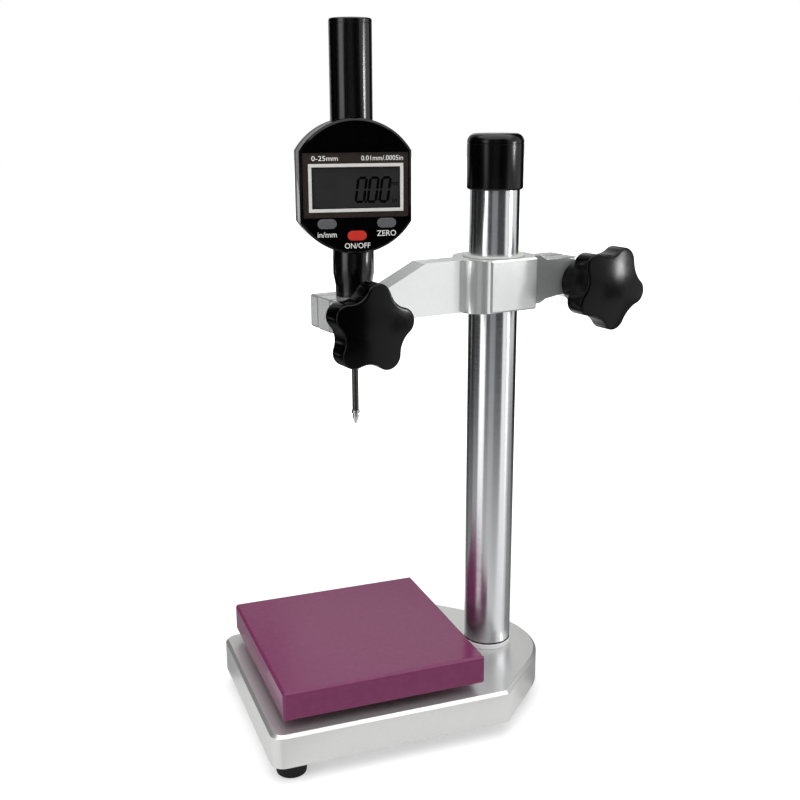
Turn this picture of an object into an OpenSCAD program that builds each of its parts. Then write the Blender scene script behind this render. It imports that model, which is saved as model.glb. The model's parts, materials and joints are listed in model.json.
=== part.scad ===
// Comparator stand: a digital indicator on a swinging arm over a flat work plate.
// Z = 0 is the top of the work plate, X = Y = 0 its centre, +X runs to the column.
// The arm stands swung and the display turned as the stand is normally set up.

/* [Work plate] */
// Side of the square work plate
plate_size = 100; // [90:1:120]
// Thickness of the work plate
plate_t = 14.5; // [12:0.5:20]
// Chamfer on the work plate's edges
plate_edge = 1.2; // [0.5:0.1:2.5]
// Height of the spacers under the work plate
spacer_h = 4.6; // [3:0.2:8]
// Diameter of the spacers under the work plate
spacer_d = 14; // [12:1:18]
// How far the spacers stand in from the plate's edges
spacer_inset = 24; // [20:1:32]

/* [Base] */
// Thickness of the base
base_t = 16.5; // [15:0.5:22]
// Border of base that shows round the work plate
base_border = 3.8; // [2:0.2:10]
// Border of base that shows at the end away from the column
base_lead = 6.3; // [3:0.1:10]
// Corner radius of the base at the end away from the column
base_corner_r = 6.5; // [4:0.5:11]
// How far the base runs on past the column's axis
base_tail = 24.5; // [22:0.5:32]
// Radius of the base's round end
base_end_r = 39.5; // [34:0.5:44]
// Chamfer round the base's top edge
base_edge = 1.5; // [0.5:0.25:2.5]
// Height of the rubber feet
foot_h = 8.5; // [6:0.5:10]
// Diameter of the rubber feet
foot_d = 16; // [14:0.5:20]
// How far the two corner feet stand in from the base's sides
foot_inset = 11; // [9.5:0.5:14]
// How far the two feet by the column stand to each side of its axis
foot_spread = 22; // [20:1:26]

/* [Column] */
// Diameter of the column
column_d = 24; // [22:0.5:26]
// Length of column that stands above the base
column_len = 259.5; // [250:0.5:300]
// Distance from the work plate's edge to the column's axis
column_gap = 24; // [20:0.5:30]
// Depth of the column's seat in the base
column_seat = 6; // [4:0.5:8]
// How far the bright collar at the column's foot stands out past the column
collar_over = 0.4; // [0.2:0.1:2]
// Height of the collar
collar_h = 2.6; // [2:0.2:5]
// Diameter of the column's end cap
cap_d = 27; // [26.5:0.5:30]
// Height of the column's end cap
cap_h = 26; // [20:0.5:28]

/* [Arm] */
// Height of the arm's underside above the work plate
arm_under = 160; // [140:1:165]
// Height of the arm at the column
arm_h = 25; // [23:0.5:28]
// Thickness of the arm between column and fork
arm_t = 12; // [9:0.5:12]
// How far the spindle's axis lies past the work plate's centre, along the arm
arm_past = 3; // [0:0.5:6]
// Angle the arm is swung towards the front
arm_swing = 10; // [-20:1:20]
// Level length of the arm's top edge, from the column's axis
arm_level = 42; // [36:1:46]
// Diameter of the arm's hub round the column
hub_d = 40; // [37:0.5:44]
// Distance from the column's axis to the flat pad in front
pad_reach = 16.5; // [16:0.25:18]
// Width of the flat pad in front
pad_w = 27; // [22:0.5:30]
// Distance from the column's axis to the column clamp screw
tail_reach = 43.5; // [40:0.5:46]
// How far the column clamp screw lies below the arm's middle
tail_drop = 2; // [0:0.25:3]
// Thickness of the two clamp ears together
tail_t = 21; // [19:0.5:24]
// Diameter of the clamp ears round their screw
ear_d = 18; // [17:0.5:20]
// Width of the clamp slits
slit_w = 2; // [1:0.2:3]

/* [Fork] */
// Width of the fork that holds the indicator
fork_w = 28; // [27:0.5:32]
// Height of the fork
fork_h = 15; // [13.5:0.5:16]
// How far the fork drops below the arm
fork_drop = 2.5; // [1:0.5:4]
// Thickness of the split holder between the fork's jaws
holder_t = 12; // [11:0.5:12.5]
// Distance from the stem's axis to the fork clamp screw
fork_screw_gap = 8.5; // [8.25:0.25:11]

/* [Knobs] */
// Diameter of the indicator's knob over its lobes
fork_knob_d = 40; // [38:0.5:43]
// Diameter of the column's knob over its lobes
tail_knob_d = 41.5; // [39:0.5:43]
// Radius of a knob's lobes
lobe_r = 6; // [5.5:0.25:6.5]
// Depth of the hollows between a knob's lobes
hollow_depth = 5; // [4:0.25:6]
// Thickness of a knob's star
star_t = 12.5; // [11:0.5:15]
// Radius of a knob's crowned face
crown_r = 90; // [70:1:120]
// Diameter of a knob's hub
knob_hub_d = 22; // [20:0.5:24]
// Hub length of the indicator's knob
fork_hub_len = 9; // [7:0.5:11]
// Hub length of the column's knob
tail_hub_len = 15; // [12:0.5:18]
// Thread diameter of the indicator's clamp screw
fork_stud_d = 6; // [5:0.5:6]
// Thread diameter of the column's clamp screw
tail_stud_d = 8; // [6:0.5:8]

/* [Indicator case] */
// Diameter of the round indicator case
case_d = 58; // [56:0.5:62]
// Width of the case over its two flats
case_w = 49.4; // [48:0.2:53]
// Distance from the spindle's axis to the case's face
case_front = 10; // [9.8:0.1:12]
// Distance from the spindle's axis to the case's back
case_back = 9.5; // [9.4:0.1:12]
// Wall of the case
case_wall = 2; // [1.6:0.1:2.2]
// Chamfer round the case's face
case_edge = 1; // [0.4:0.1:1.5]
// Angle the display is turned against the arm
display_turn = -18; // [-60:1:60]
// Margin of the case's face beside the panel round the display
panel_margin = 0.4; // [0.3:0.1:1.5]
// Height of the panel round the display
panel_h = 27.8; // [26:0.2:28]
// Width of the bright display frame
frame_w = 41.8; // [38:0.2:43]
// Height of the bright display frame
frame_h = 20.6; // [18:0.2:22]
// Width of the display frame's bars
frame_bar = 1.4; // [1:0.1:1.8]
// Width of a button
button_w = 8.4; // [7:0.2:8.6]
// Height of a button
button_h = 4.2; // [3.6:0.2:4.4]
// How far a button stands out of the case
button_out = 0.8; // [0.5:0.1:1.2]
// Travel of a button
button_travel = 0.7; // [0.4:0.1:0.8]

/* [Tube, neck and spindle] */
// Diameter of the tube above the case
tube_d = 18.6; // [17:0.1:18.8]
// Height of the tube above the case, with its cap
tube_len = 41; // [40:0.5:60]
// Diameter of the neck below the case
neck_d = 18.4; // [17:0.1:18.8]
// Diameter of the neck at its foot
neck_foot_d = 16.4; // [15:0.2:17]
// Length of the neck from the fork to the case
neck_len = 19.7; // [18:0.1:26]
// Diameter of the stem that the fork clamps
stem_d = 8; // [7:0.1:8]
// How far the stem comes out below the fork
stem_out = 11; // [8:0.5:14]
// Diameter of the spindle
spindle_d = 3; // [2.5:0.1:3.5]
// Distance from the stem's end to the contact point's tip
spindle_out = 34.5; // [33:0.5:40]
// Travel of the spindle
spindle_travel = 25; // [20:0.5:25]
// Length of the contact point
contact_len = 6.5; // [6:0.25:7]
// Outer diameter of the return spring
spring_d = 7.4; // [6.4:0.1:7.6]
// Wire of the return spring
spring_wire = 0.6; // [0.5:0.05:0.7]
// Turns of the return spring
spring_turns = 12; // [9:1:13]

/* [Hidden] */
$fn = 64;

// Clearances: running fits, loose holes round screws, faces that slide or stay apart, cuts
run = 0.04;
loose = 0.3;
face_gap = 0.1;
cut = 1;

// Levels of the stand
base_top = -plate_t - spacer_h;
base_bottom = base_top - base_t;
bench = base_bottom - foot_h;
base_half = plate_size / 2 + base_border;
base_left = -plate_size / 2 - base_lead;
column_x = plate_size / 2 + column_gap;
column_top = base_top + column_len;
column_spigot_d = 16;
column_edge = 1;
seal_h = 0.6;
column_foot = base_top + collar_h + seal_h;
cap_top_t = 2.4;
cap_round = 4;
cap_lead = 0.8;
cap_bottom = column_top + cap_top_t - cap_h;
end_x = column_x + base_tail - base_end_r;
foot_taper = 2;
foot_past = 2;

// Screws under the base
screw_d = 4;
screw_head_d = 7;
screw_head_h = 3;
socket_w = 0.8;
socket_deep = 0.6;
foot_screw_up = 8;
bolt_d = 8;
bolt_head_d = 13;
bolt_head_h = 4;
washer_t = 1.5;
bolt_len = 20;
insert_d = 7;
insert_len = 8;

// Arm levels and reach
arm_reach = column_x + arm_past;
arm_top = arm_under + arm_h;
fork_bottom = arm_under - fork_drop;
fork_top = fork_bottom + fork_h;
slot_w = holder_t + 2 * loose;
fork_lip = 7;
fork_web = 5;
fork_edge = 1;
holder_edge = 0.5;
holder_back = 4;
fork_screw_x = -arm_reach - fork_screw_gap;
fork_end = fork_screw_x - fork_lip;
slot_end = -arm_reach + stem_d / 2 + holder_back;
fork_root = slot_end + fork_web;
fork_screw_up = 5.5;
fork_screw_z = fork_bottom + fork_screw_up;
fork_washer_d = 13;
tail_washer_d = 16;
arm_step = 2;
arm_mid = arm_under + arm_h / 2;
tail_screw_z = arm_mid - tail_drop;
pad_shift = 1;
pad_edge = 0.8;
pad_end = pad_w / 2 + pad_shift;
tail_corner = 6.5;
tail_draw = 10;
tail_lift = 1.3;
tail_waist = 3.2;
tail_rise = 4.6;
tail_top_in = 2.3;
bush_t = 1.5;
bush_d = column_d + 2 * bush_t;
lip_t = 0.9;
lip_d = bush_d + 2 * bush_t;
fork_nut_h = 4;
fork_nut_w = 10;
tail_nut_h = 5;
tail_nut_w = 13;

// Knobs
lobes = 5;
knob_seat = 6;
arc_steps = 5;
hollow_steps = 3;
column_knob_turn = 61;
indicator_knob_turn = 82;

// Indicator levels
neck_foot = fork_top + 2 * face_gap;
case_bottom = neck_foot + neck_len;
case_z = case_bottom + case_d / 2;
case_top = case_z + case_d / 2;
tube_top = case_top + tube_len;
spigot_d = 12;
spigot_depth = case_wall + 3;
stem_bottom = fork_bottom - stem_out;
stem_top = neck_foot + 12;
stem_bore = 6;
tip_z = stem_bottom - spindle_out;
contact_top = tip_z + contact_len;
neck_straight = 4.5;
neck_flare = 10;
lower_bush_len = 8;
upper_bush_len = 6;
tube_bore = 10;
upper_bush_bottom = case_top - spigot_depth;
seat_bottom = upper_bush_bottom + upper_bush_len + face_gap;
seat_t = 2;
spring_bottom = seat_bottom + seat_t;
tube_cap_t = 2.2;
tube_cap_edge = 0.5;
tube_plug = 4;
spring_top = tube_top - tube_cap_t;
contact_cone = contact_len / 2;
contact_d = 3;
contact_tip_d = 0.7;
contact_rim = 0.6;
contact_neck_d = 2.6;
contact_collar_d = 3.8;
contact_collar_h = 1.4;
contact_stud_d = 2;
contact_stud_len = 4.5;
stud_hole = 5;

// Display and buttons, heights counted from the case's centre
panel_w = case_w - 2 * case_edge - 2 * panel_margin;
panel_t = 0.6;
panel_recess = 0.5;
panel_z = 0.7;
frame_z = -0.4;
panel_back = -case_front + panel_recess + panel_t;
glass_w = frame_w - frame_bar;
glass_h = frame_h - frame_bar;
glass_t = 1.6;
glass_back = panel_back + glass_t;
carrier_margin = 1.5;
rear_edge = 3;
side_button_in = 11.5;
side_button_x = case_w / 2 - side_button_in;
button_under = 0.4;
button_step = 5.3;
side_button_z = panel_z - panel_h / 2 - button_h / 2 - button_under;
mid_button_z = side_button_z - button_step;
button_gap = 0.15;
flange = 0.6;
flange_t = 0.8;
inner_face = -case_front + case_wall;
board_t = 1.2;
switch_h = 1.1;
nub_d = 2;
nub_gap = 0.15;
board_front = inner_face + flange_t + button_travel + switch_h;
strip_t = 0.8;
boss_d = 4;
boss_edge = 2.7;
boss_turns = [-144, -42, 42, 144];
case_screw_d = 2;
case_screw_start = 2;
case_head_d = 3.6;
case_head_h = 1.5;
case_slot_w = 0.5;
case_slot_h = 0.7;

// Battery and slider behind the board
battery_d = 20;
battery_t = 3.2;
battery_x = -7;
battery_z = -3;
battery_front = 3.2;
well_wall = 1.3;
clip_t = 0.3;
clip_w = 4;
cover_d = battery_d + 2;
coin_slot_w = 1.6;
coin_slot_h = 1;
slider_front = board_front + board_t + strip_t + loose;
slider_w = 9;
slider_h = 10;
slider_back = 2.2;
rod_d = 2;
rod_x = 7.5;
rod_y = 2.6;
slider_lug_back = rod_y + rod_d - 0.4;
lug_h = 2.5;
lug_gap = 0.5;
rod_bottom = case_bottom + spigot_depth;
slider_z = rod_bottom + lug_h + lug_gap;
rod_top = slider_z + slider_h + spindle_travel + lug_gap + lug_h;

// Return spring: one unbroken wire wound between the seat and the tube's cap
spring_sides = 6;
spring_rings = 8;
spring_r = (spring_d - spring_wire) / 2;
spring_rise = spring_top - spring_bottom - spring_wire - 2 * face_gap;

metal = [0.80, 0.80, 0.80];
steel = [0.62, 0.63, 0.65];
black = [0.03, 0.03, 0.035];
brass_colour = [0.76, 0.62, 0.30];
rubber = [0.06, 0.06, 0.06];

// Arm frame: the column's axis is the origin, -X runs to the indicator, -Y is the front
module at_arm() {
    translate([column_x, 0, 0])
        rotate([0, 0, arm_swing])
            children();
}

// Indicator frame: the spindle's axis is the origin, the display looks along -Y
module at_indicator() {
    at_arm()
        translate([-arm_reach, 0, 0])
            rotate([0, 0, display_turn])
                children();
}

// A flat outline drawn in X and Z, run from y0 to y1
module along_y(y0, y1) {
    translate([0, y1, 0])
        rotate([90, 0, 0])
            linear_extrude(y1 - y0)
                children();
}

// A round bar on the Y axis from y0 to y1
module rod_y(d, y0, y1, sides = 64) {
    translate([0, y0, 0])
        rotate([-90, 0, 0])
            cylinder(d = d, h = y1 - y0, $fn = sides);
}

// A straight tube standing on z0
module ring(outer, inner, z0, h) {
    translate([0, 0, z0])
        difference() {
            cylinder(d = outer, h = h);
            translate([0, 0, -cut])
                cylinder(d = inner, h = h + 2 * cut);
        }
}

// A rectangle with its corners cut at 45 degrees, centred
module cut_square(w, h, c) {
    polygon([
        [-w / 2 + c, -h / 2], [w / 2 - c, -h / 2], [w / 2, -h / 2 + c], [w / 2, h / 2 - c],
        [w / 2 - c, h / 2], [-w / 2 + c, h / 2], [-w / 2, h / 2 - c], [-w / 2, -h / 2 + c]
    ]);
}

// A block with every edge chamfered, centred on the origin
module block(w, d, h, c) {
    intersection() {
        translate([0, 0, -h / 2])
            linear_extrude(h)
                cut_square(w, d, c);
        along_y(-d / 2, d / 2)
            cut_square(w, h, c);
        rotate([0, 0, 90])
            along_y(-w / 2, w / 2)
                cut_square(d, h, c);
    }
}

// A flat oval, as wide as w and as high as h
module oval(w, h) {
    square([w - h, h], center = true);
    for (side = [-1, 1])
        translate([side * (w - h) / 2, 0])
            circle(d = h);
}

// Places of the feet, two in the corners and two by the column, and of the work plate's spacers
module at_feet() {
    for (side = [-1, 1]) {
        translate([base_left + foot_inset, side * (base_half - foot_inset), 0])
            children();
        translate([column_x + foot_past, side * foot_spread, 0])
            children();
    }
}

module at_spacers() {
    for (x = [-1, 1], y = [-1, 1])
        translate([x * (plate_size / 2 - spacer_inset), y * (plate_size / 2 - spacer_inset), 0])
            children();
}

// Plan of the base: two round corners, tapered sides and a round end
module base_plan(inset) {
    half = base_half - inset;
    end_r = base_end_r - inset;
    hull() {
        for (side = [-1, 1])
            translate([base_left + base_corner_r, side * (base_half - base_corner_r)])
                circle(r = base_corner_r - inset, $fn = 96);
        polygon([
            [base_left + base_corner_r, -half], [end_x + end_r * sqrt(2) - half, -half],
            [end_x + end_r * sqrt(2) - half, half], [base_left + base_corner_r, half]
        ]);
        translate([end_x, 0])
            circle(r = end_r, $fn = 192);
    }
}

module base_plate() color(metal)
    difference() {
        hull() {
            translate([0, 0, base_bottom])
                linear_extrude(base_t - base_edge)
                    base_plan(0);
            translate([0, 0, base_bottom])
                linear_extrude(base_t)
                    base_plan(base_edge);
        }
        translate([column_x, 0, base_top - column_seat])
            cylinder(d = column_spigot_d + 2 * run, h = column_seat + cut);
        translate([column_x, 0, base_bottom - cut])
            cylinder(d = bolt_d + 2 * loose, h = base_t + 2 * cut);
        translate([column_x, 0, base_bottom - cut])
            cylinder(d = bolt_head_d + 4 * loose, h = bolt_head_h + washer_t + cut);
        at_feet()
            translate([0, 0, base_bottom - cut])
                cylinder(d = screw_d + 2 * run, h = foot_screw_up + 2 * cut);
        at_spacers()
            translate([0, 0, base_bottom - cut])
                cylinder(d = screw_d + 2 * loose, h = base_t + 2 * cut);
        at_spacers()
            translate([0, 0, base_bottom - cut])
                cylinder(d = screw_head_d + 2 * loose, h = screw_head_h + face_gap + cut);
    }

module rubber_feet() color(rubber)
    at_feet()
        difference() {
            translate([0, 0, bench])
                cylinder(d1 = foot_d - foot_taper, d2 = foot_d, h = foot_h);
            translate([0, 0, bench - cut])
                cylinder(d = screw_head_d + 2 * face_gap, h = foot_h / 2 + cut);
            translate([0, 0, bench])
                cylinder(d = screw_d + 2 * face_gap, h = foot_h + cut);
        }

module foot_screws() color(steel)
    at_feet()
        screw(screw_d, screw_head_d, screw_head_h, bench + foot_h / 2, foot_h / 2 + foot_screw_up);

// A cap screw pointing up: head under z, shank above it, with a hexagon socket
module screw(d, head_d, head_h, z, len) {
    difference() {
        union() {
            translate([0, 0, z])
                cylinder(d = d, h = len);
            translate([0, 0, z - head_h])
                cylinder(d = head_d, h = head_h);
        }
        translate([0, 0, z - head_h - cut])
            cylinder(d = d * socket_w, h = cut + head_h * socket_deep, $fn = 6);
    }
}

module plate_spacers() color(steel)
    at_spacers()
        ring(spacer_d, screw_d + 2 * loose, base_top, spacer_h);

module work_plate() color([0.46, 0.20, 0.36])
    difference() {
        translate([0, 0, -plate_t / 2])
            block(plate_size, plate_size, plate_t, plate_edge);
        at_spacers()
            translate([0, 0, -plate_t - cut])
                cylinder(d = insert_d + 2 * run, h = insert_len + cut);
    }

module plate_inserts() color(brass_colour)
    at_spacers()
        ring(insert_d, screw_d + 2 * run, -plate_t, insert_len);

module plate_screws() color(steel)
    at_spacers()
        screw(screw_d, screw_head_d, screw_head_h, base_bottom + screw_head_h + face_gap,
            base_t - screw_head_h - face_gap + spacer_h + insert_len - cut);

// The column stands on its collar; a spigot below it plugs into the base
module column() color(steel)
    translate([column_x, 0, 0])
        difference() {
            union() {
                translate([0, 0, base_top - column_seat])
                    cylinder(d = column_spigot_d, h = column_seat + collar_h + seal_h + cut);
                translate([0, 0, column_foot])
                    cylinder(d = column_d, h = column_top - column_foot - column_edge);
                translate([0, 0, column_top - column_edge])
                    cylinder(d1 = column_d, d2 = column_d - 2 * column_edge, h = column_edge);
            }
            translate([0, 0, base_top - column_seat - cut])
                cylinder(d = bolt_d + 2 * run, h = bolt_len + cut);
        }

module column_collar() color([0.9, 0.9, 0.9])
    translate([column_x, 0, 0])
        ring(column_d + 2 * collar_over, column_spigot_d + 2 * run, base_top, collar_h);

module collar_seal() color(rubber)
    translate([column_x, 0, 0])
        ring(column_d, column_spigot_d + 2 * run, base_top + collar_h, seal_h);

module column_bolt() color(steel)
    translate([column_x, 0, 0])
        screw(bolt_d, bolt_head_d, bolt_head_h - face_gap, base_bottom + bolt_head_h,
            base_t - column_seat - bolt_head_h + bolt_len - 2 * cut);

module column_washer() color(steel)
    translate([column_x, 0, 0])
        ring(bolt_head_d + 2 * loose, bolt_d + 2 * loose, base_bottom + bolt_head_h, washer_t);

// The cap's shoulder is turned round, its skirt has a small lead-in at the bottom
module column_cap() color(black)
    translate([column_x, 0, cap_bottom])
        difference() {
            rotate_extrude() {
                square([cap_d / 2 - cap_round, cap_h]);
                polygon([
                    [0, 0], [cap_d / 2 - cap_lead, 0], [cap_d / 2, cap_lead],
                    [cap_d / 2, cap_h - cap_round], [0, cap_h - cap_round]
                ]);
                translate([cap_d / 2 - cap_round, cap_h - cap_round])
                    circle(r = cap_round);
            }
            translate([0, 0, -cut])
                cylinder(d = column_d + 2 * run, h = cap_h - cap_top_t + cut);
        }

// Split sleeve that slides on the column and carries the arm by its top lip
module column_bush() color([0.82, 0.82, 0.79])
    at_arm()
        difference() {
            union() {
                translate([0, 0, arm_under])
                    cylinder(d = bush_d, h = arm_h + face_gap + lip_t);
                translate([0, 0, arm_top + face_gap])
                    cylinder(d = lip_d, h = lip_t);
            }
            translate([0, 0, arm_under - cut])
                cylinder(d = column_d + 2 * run, h = arm_h + lip_t + 2 * cut);
            translate([column_d / 4, -slit_w / 2, arm_under - cut])
                cube([lip_d, slit_w, arm_h + lip_t + 2 * cut]);
        }

// Side of the arm: level by the column, then sloping down to the fork
module arm_side() {
    polygon([
        [0, arm_under], [fork_root, arm_under], [fork_root - arm_step, fork_bottom],
        [slot_end - arm_step, fork_bottom], [slot_end - arm_step, fork_top],
        [fork_root - 2 * arm_step, fork_top], [-arm_level, arm_top], [0, arm_top]
    ]);
}

// Side of the clamp ears: full height at the pad, drawn in towards the screw
module tail_side() {
    polygon([
        [0, arm_under + tail_lift], [pad_end + tail_corner, arm_under + tail_lift],
        [pad_end + tail_draw, arm_under + tail_waist], [tail_reach - ear_d / 2, arm_under + tail_rise],
        [tail_reach, arm_under + tail_rise], [tail_reach + ear_d / 4, tail_screw_z],
        [tail_reach + ear_d / 4, tail_screw_z + ear_d / 3], [tail_reach, arm_top - tail_top_in],
        [pad_end + tail_draw, arm_top - tail_top_in], [pad_end + tail_corner, arm_top], [0, arm_top]
    ]);
}

// Hub round the column, flat in front where the pad lies over it, with a round shoulder beside the pad
module arm_hub() {
    intersection() {
        translate([0, 0, arm_under])
            cylinder(d = hub_d, h = arm_h);
        translate([-hub_d, pad_edge - pad_reach, arm_under - cut])
            cube([2 * hub_d, 2 * hub_d, arm_h + 2 * cut]);
    }
    translate([pad_shift - pad_w / 2, -arm_t / 2, arm_under])
        cylinder(r = pad_reach - arm_t / 2 - pad_edge - face_gap, h = arm_h);
}

module arm() color(metal)
    at_arm()
        difference() {
            union() {
                along_y(-arm_t / 2, arm_t / 2)
                    arm_side();
                arm_hub();
                translate([pad_shift, -pad_reach / 2, arm_mid])
                    block(pad_w, pad_reach, arm_h, pad_edge);
                along_y(-tail_t / 2, tail_t / 2)
                    tail_side();
                translate([tail_reach, 0, tail_screw_z])
                    rod_y(ear_d, -tail_t / 2, tail_t / 2);
                translate([(fork_end + fork_root) / 2, 0, (fork_bottom + fork_top) / 2])
                    block(fork_root - fork_end, fork_w, fork_h, fork_edge);
            }
            translate([0, 0, arm_under - cut])
                cylinder(d = bush_d + 2 * run, h = arm_h + 2 * cut);
            translate([bush_d / 4, -slit_w / 2, arm_under - cut])
                cube([tail_reach + ear_d, slit_w, arm_h + 2 * cut]);
            translate([fork_end - cut, -slot_w / 2, fork_bottom - cut])
                cube([slot_end - fork_end + cut, slot_w, fork_h + 2 * cut]);
            translate([fork_screw_x, 0, fork_screw_z]) {
                rod_y(fork_stud_d + 2 * loose, -fork_w, fork_w);
                rod_y(fork_nut_w / cos(30) + 2 * face_gap, fork_w / 2 - fork_nut_h, fork_w, 6);
            }
            translate([tail_reach, 0, tail_screw_z]) {
                rod_y(tail_stud_d + 2 * loose, -tail_t, tail_t);
                rod_y(tail_nut_w / cos(30) + 2 * face_gap, tail_t / 2 - tail_nut_h, tail_t, 6);
            }
        }

// Split block between the jaws: bored for the stem, cross-drilled for the clamp screw
module stem_holder() color([0.75, 0.75, 0.76])
    at_arm()
        difference() {
            translate([(fork_end + slot_end) / 2 - loose / 2, 0, (fork_bottom + fork_top) / 2])
                block(slot_end - fork_end - loose, holder_t, fork_h, holder_edge);
            translate([-arm_reach, 0, fork_bottom - cut])
                cylinder(d = stem_d + 2 * run, h = fork_h + 2 * cut);
            translate([-arm_reach, -slit_w / 4, fork_bottom - cut])
                cube([slot_end + arm_reach + cut, slit_w / 2, fork_h + 2 * cut]);
            translate([fork_screw_x, 0, fork_screw_z])
                rod_y(fork_stud_d + 2 * loose, -holder_t, holder_t);
        }

// A hexagon nut on the Y axis, let into the back of the ear or jaw
module nut_y(width, bore, y0, y1) {
    difference() {
        rod_y(width / cos(30), y0, y1, 6);
        rod_y(bore, y0 - cut, y1 + cut);
    }
}

module fork_nut() color(steel)
    at_arm()
        translate([fork_screw_x, 0, fork_screw_z])
            nut_y(fork_nut_w, fork_stud_d + 2 * run, fork_w / 2 - fork_nut_h, fork_w / 2);

module tail_nut() color(steel)
    at_arm()
        translate([tail_reach, 0, tail_screw_z])
            nut_y(tail_nut_w, tail_stud_d + 2 * run, tail_t / 2 - tail_nut_h, tail_t / 2);

// Knob frames: +Z runs out along the clamp screw from the face that the washer lies on
module at_tail_screw() {
    at_arm()
        translate([tail_reach, -tail_t / 2, tail_screw_z])
            rotate([90, 0, 0])
                children();
}

module at_fork_screw() {
    at_arm()
        translate([fork_screw_x, -fork_w / 2, fork_screw_z])
            rotate([90, 0, 0])
                children();
}

module tail_washer() color(steel)
    at_tail_screw()
        ring(tail_washer_d, tail_stud_d + 2 * loose, 0, washer_t);

module fork_washer() color(steel)
    at_fork_screw()
        ring(fork_washer_d, fork_stud_d + 2 * loose, 0, washer_t);

// Outline of a star knob: round lobes with tangent hollows between them
module star(d) {
    step = 360 / lobes;
    lobe_c = d / 2 - lobe_r;
    hollow_in = d / 2 - hollow_depth;
    hollow_step = lobe_r - hollow_in;
    hollow_c = (lobe_c * lobe_c - hollow_step * hollow_step) / (2 * (hollow_step + lobe_c * cos(step / 2)));
    hollow_r = hollow_c - hollow_in;
    lobe_half = atan2(hollow_c * sin(step / 2), hollow_c * cos(step / 2) - lobe_c);
    hollow_half = lobe_half - step / 2;
    polygon([
        for (i = [0 : lobes - 1])
            for (p = concat(
                [for (k = [-arc_steps : arc_steps])
                    on_arc(i * step, lobe_c, lobe_r, k / arc_steps * lobe_half)],
                [for (k = [1 - hollow_steps : hollow_steps - 1])
                    on_arc((i + 0.5) * step, hollow_c, hollow_r, 180 - k / hollow_steps * hollow_half)]
            ))
                p
    ]);
}

// Point of a circle whose centre lies at distance d in direction turn, at angle a from that direction
function on_arc(turn, d, r, a) = [d * cos(turn) + r * cos(turn + a), d * sin(turn) + r * sin(turn + a)];

// A moulded star knob with a crowned face and a hub, bored for its stud
module star_knob(d, hub_len, stud_d, turn) {
    seat = washer_t + face_gap;
    difference() {
        union() {
            translate([0, 0, seat])
                cylinder(d = knob_hub_d, h = hub_len + star_t / 2);
            intersection() {
                translate([0, 0, seat + hub_len])
                    rotate(turn)
                        linear_extrude(star_t)
                            star(d);
                translate([0, 0, seat + hub_len + star_t - crown_r])
                    sphere(r = crown_r, $fn = 128);
            }
        }
        translate([0, 0, seat - cut])
            cylinder(d = stud_d + 2 * run, h = hub_len + knob_seat + cut);
    }
}

module column_knob() color(black)
    at_tail_screw()
        star_knob(tail_knob_d, tail_hub_len, tail_stud_d, column_knob_turn);

module indicator_knob() color(black)
    at_fork_screw()
        star_knob(fork_knob_d, fork_hub_len, fork_stud_d, indicator_knob_turn);

module column_stud() color(steel)
    at_tail_screw()
        translate([0, 0, -tail_t + face_gap])
            cylinder(d = tail_stud_d, h = tail_t + washer_t + tail_hub_len + knob_seat - face_gap);

module indicator_stud() color(steel)
    at_fork_screw()
        translate([0, 0, -fork_w + face_gap])
            cylinder(d = fork_stud_d, h = fork_w + washer_t + fork_hub_len + knob_seat - face_gap);

// Outline of the case seen from the front, drawn in by a wall
module case_outline(inset) {
    intersection() {
        circle(d = case_d - 2 * inset, $fn = 128);
        square([case_w - 2 * inset, case_d], center = true);
    }
}

// Solid of the case between two depths, chamfered at the end e (-1 front, 1 back)
module case_solid(y0, y1, e, edge) {
    translate([0, 0, case_z])
        intersection() {
            along_y(y0, y1)
                case_outline(0);
            union() {
                rod_y(case_d + cut, e < 0 ? y0 + edge : y0, e < 0 ? y1 : y1 - edge, 128);
                translate([0, e < 0 ? y0 + edge : y1 - edge, 0])
                    rotate([e * -90, 0, 0])
                        cylinder(d1 = case_d, d2 = case_d - 2 * edge, h = edge, $fn = 128);
            }
            translate([0, (y0 + y1) / 2, -case_d / 2])
                linear_extrude(case_d)
                    polygon([
                        for (p = [[-1, -1], [1, -1], [1, 1], [-1, 1]])
                            let (keep = p[1] == e ? edge : 0)
                            for (q = p[0] * p[1] > 0 ? [[0, keep], [keep, 0]] : [[keep, 0], [0, keep]])
                                [p[0] * (case_w / 2 - q[0]), p[1] * ((y1 - y0) / 2 - q[1])]
                    ]);
        }
}

module at_bosses() {
    boss_r = case_d / 2 - boss_edge;
    for (turn = boss_turns)
        translate([boss_r * sin(turn), 0, case_z + boss_r * cos(turn)])
            children();
}

// Holes where the neck below and the tube above plug into the case
module spigot_holes() {
    translate([0, 0, case_bottom - cut])
        cylinder(d = spigot_d + 2 * run, h = spigot_depth + cut);
    translate([0, 0, case_top - spigot_depth])
        cylinder(d = spigot_d + 2 * run, h = spigot_depth + cut);
}

module at_buttons() {
    translate([-side_button_x, 0, case_z + side_button_z])
        children();
    translate([side_button_x, 0, case_z + side_button_z])
        children();
    translate([0, 0, case_z + mid_button_z])
        children();
}

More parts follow.
